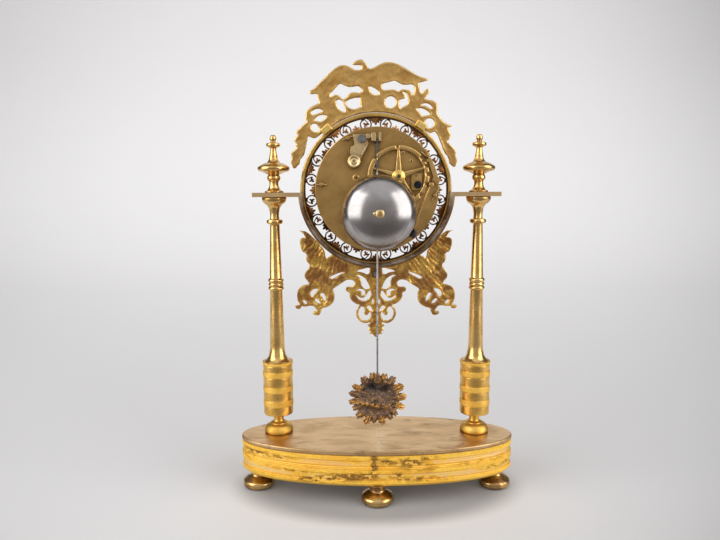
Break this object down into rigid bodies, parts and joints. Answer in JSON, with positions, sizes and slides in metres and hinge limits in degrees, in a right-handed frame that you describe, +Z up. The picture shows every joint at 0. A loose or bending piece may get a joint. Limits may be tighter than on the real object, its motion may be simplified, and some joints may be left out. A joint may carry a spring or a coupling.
{
  "type": "skeleton mantel clock",
  "caption": "Portico skeleton clock: oval gilt base on bun feet, two turned columns carrying a ring with pierced gallery, enamel dial, striking movement with bell, short pendulum, eagle crest.",
  "frame": {"origin": "on the table surface, under the middle of the overall width and depth, which is 6.1 mm behind the centre of the oval base, towards the bell", "axes": "+Z up, dial faces -Y, back of the movement faces +Y, +X to the right when facing the dial"},
  "size_m": [0.2086, 0.0902, 0.3256],
  "materials": {
    "chased_gilt": "engine-turned gilt brass with brown patina in the hollows",
    "satin_gilt": "satin brushed gilt brass",
    "burnished_gilt": "burnished gilt brass",
    "dark_gilt": "tarnished brown gilt brass",
    "ormolu": "matte chased gilt bronze with filed back",
    "movement_brass": "satin lacquered movement brass",
    "steel": "dark polished steel",
    "blued_steel": "heat-blued steel",
    "bell_metal": "turned and polished grey bell metal",
    "enamel": "glossy white enamel on metal",
    "black_enamel": "fired black enamel",
    "silk": "twisted silk thread"
  },
  "bodies": {
    "case_and_frame": {"base_body": "chased_gilt", "base_top_plate": "satin_gilt", "bun_feet": "burnished_gilt", "base_nuts": "steel", "tie_rods": "steel", "column_feet": "burnished_gilt", "column_drums": "chased_gilt", "column_shafts": "burnished_gilt", "column_finials": "burnished_gilt", "cradle": "dark_gilt", "bezel_ring": "burnished_gilt", "scroll_gallery": "dark_gilt", "crest": "ormolu", "crest_lugs": "burnished_gilt", "lower_ornament": "ormolu", "ornament_bracket": "dark_gilt", "chapter_ring": "enamel", "dial_bezels": "burnished_gilt", "dial_markings": "black_enamel", "dial_posts": "movement_brass", "front_plate": "movement_brass", "back_plate": "movement_brass", "plate_pillars": "movement_brass", "pillar_pins": "steel", "suspension_cock": "movement_brass", "plate_screws": "steel", "strike_bridge": "movement_brass", "bridge_screw": "blued_steel", "bell": "bell_metal", "bell_stand": "steel", "bell_nut": "movement_brass", "click_springs": "steel"},
    "pendulum": {"suspension_silk": "silk", "pendulum_rod": "steel", "pendulum_bob": "ormolu"},
    "pallets": {"pallets_and_crutch": "steel"},
    "centre_arbor": {"centre_wheel": "movement_brass", "cannon_pinion": "steel", "minute_hand": "blued_steel"},
    "third_arbor": {"third_wheel": "movement_brass"},
    "escape_arbor": {"escape_wheel": "movement_brass"},
    "going_drum": {"going_barrel": "movement_brass", "going_mainspring": "blued_steel"},
    "going_arbor": {"going_winding_arbor": "steel"},
    "going_pawl": {"going_click": "steel"},
    "minute_work": {"minute_wheel": "movement_brass"},
    "hour_work": {"hour_wheel": "movement_brass", "hour_hand": "blued_steel"},
    "strike_drum": {"strike_barrel": "movement_brass", "strike_mainspring": "blued_steel"},
    "strike_arbor": {"strike_winding_arbor": "steel"},
    "strike_pawl": {"strike_click": "steel"},
    "count_work": {"strike_second_wheel": "movement_brass", "count_wheel": "movement_brass"},
    "pin_arbor": {"pin_wheel": "movement_brass"},
    "locking_arbor": {"locking_wheel": "movement_brass"},
    "fly_arbor": {"fly": "movement_brass"},
    "hammer_body": {"hammer": "steel"},
    "detent_body": {"count_detent": "movement_brass"},
    "knob_body": {"rating_knob": "movement_brass"}
  },
  "joints": [
    {"name": "pendulum_swing", "type": "hinge", "parent": "case_and_frame", "child": "pendulum", "pos_m": [0, 0.01988, 0.264], "axis": [0, 1, 0], "range_deg": [-4, 4]},
    {"name": "pallets_rock", "type": "hinge", "parent": "case_and_frame", "child": "pallets", "pos_m": [0, 0.00387, 0.264], "axis": [0, 1, 0], "range_deg": [-4, 4]},
    {"name": "minute_hand_turn", "type": "hinge", "parent": "case_and_frame", "child": "centre_arbor", "pos_m": [0, -0.00613, 0.229], "axis": [0, 1, 0], "continuous": true},
    {"name": "third_wheel_turn", "type": "hinge", "parent": "case_and_frame", "child": "third_arbor", "pos_m": [0.0147, -0.00613, 0.2373], "axis": [0, 1, 0], "continuous": true},
    {"name": "escape_wheel_turn", "type": "hinge", "parent": "case_and_frame", "child": "escape_arbor", "pos_m": [0.0026, -0.00373, 0.248], "axis": [0, 1, 0], "continuous": true},
    {"name": "going_barrel_turn", "type": "hinge", "parent": "case_and_frame", "child": "going_drum", "pos_m": [0.0195, -0.00613, 0.217], "axis": [0, 1, 0], "continuous": true},
    {"name": "going_winding", "type": "hinge", "parent": "case_and_frame", "child": "going_arbor", "pos_m": [0.0195, -0.01613, 0.217], "axis": [0, 1, 0], "range_deg": [0, 1440]},
    {"name": "going_click_lift", "type": "hinge", "parent": "case_and_frame", "child": "going_pawl", "pos_m": [0.0286, -0.02063, 0.2082], "axis": [0, 1, 0], "range_deg": [0, 12]},
    {"name": "minute_wheel_turn", "type": "hinge", "parent": "case_and_frame", "child": "minute_work", "pos_m": [0, -0.02173, 0.239], "axis": [0, 1, 0], "continuous": true},
    {"name": "hour_hand_turn", "type": "hinge", "parent": "case_and_frame", "child": "hour_work", "pos_m": [0, -0.02413, 0.229], "axis": [0, 1, 0], "continuous": true},
    {"name": "count_wheel_turn", "type": "hinge", "parent": "case_and_frame", "child": "count_work", "pos_m": [-0.015, 0.01588, 0.2381], "axis": [0, 1, 0], "continuous": true},
    {"name": "strike_barrel_turn", "type": "hinge", "parent": "case_and_frame", "child": "strike_drum", "pos_m": [-0.0195, -0.00613, 0.217], "axis": [0, 1, 0], "continuous": true},
    {"name": "strike_winding", "type": "hinge", "parent": "case_and_frame", "child": "strike_arbor", "pos_m": [-0.0195, -0.01613, 0.217], "axis": [0, 1, 0], "range_deg": [0, 1440]},
    {"name": "strike_click_lift", "type": "hinge", "parent": "case_and_frame", "child": "strike_pawl", "pos_m": [-0.0286, -0.02063, 0.2082], "axis": [0, -1, 0], "range_deg": [0, 12]},
    {"name": "pin_wheel_turn", "type": "hinge", "parent": "case_and_frame", "child": "pin_arbor", "pos_m": [-0.0242, -0.00962, 0.2493], "axis": [0, 1, 0], "continuous": true},
    {"name": "locking_wheel_turn", "type": "hinge", "parent": "case_and_frame", "child": "locking_arbor", "pos_m": [-0.0184, 0.00128, 0.2548], "axis": [0, 1, 0], "continuous": true},
    {"name": "fly_turn", "type": "hinge", "parent": "case_and_frame", "child": "fly_arbor", "pos_m": [-0.0112, -0.00912, 0.2575], "axis": [0, 1, 0], "continuous": true},
    {"name": "hammer_lift", "type": "hinge", "parent": "case_and_frame", "child": "hammer_body", "pos_m": [-0.0378, 0.01787, 0.2322], "axis": [0, 1, 0], "range_deg": [0, 10]},
    {"name": "detent_lift", "type": "hinge", "parent": "case_and_frame", "child": "detent_body", "pos_m": [-0.0413, 0.01588, 0.2353], "axis": [0, -1, 0], "range_deg": [0, 10]},
    {"name": "rating_knob_turn", "type": "hinge", "parent": "case_and_frame", "child": "knob_body", "pos_m": [0.0161, 0.01588, 0.2486], "axis": [0, 1, 0], "range_deg": [-360, 360]}
  ],
  "couplings": [
    {"joint": "pallets_rock", "follows": "pendulum_swing", "ratio": 1},
    {"joint": "going_barrel_turn", "follows": "minute_hand_turn", "ratio": -0.25},
    {"joint": "third_wheel_turn", "follows": "minute_hand_turn", "ratio": -10},
    {"joint": "escape_wheel_turn", "follows": "minute_hand_turn", "ratio": 105},
    {"joint": "minute_wheel_turn", "follows": "minute_hand_turn", "ratio": -0.33333},
    {"joint": "hour_hand_turn", "follows": "minute_hand_turn", "ratio": 0.083333},
    {"joint": "strike_barrel_turn", "follows": "count_wheel_turn", "ratio": -0.18333},
    {"joint": "pin_wheel_turn", "follows": "count_wheel_turn", "ratio": -9},
    {"joint": "locking_wheel_turn", "follows": "count_wheel_turn", "ratio": 63},
    {"joint": "fly_turn", "follows": "count_wheel_turn", "ratio": -441}
  ]
}
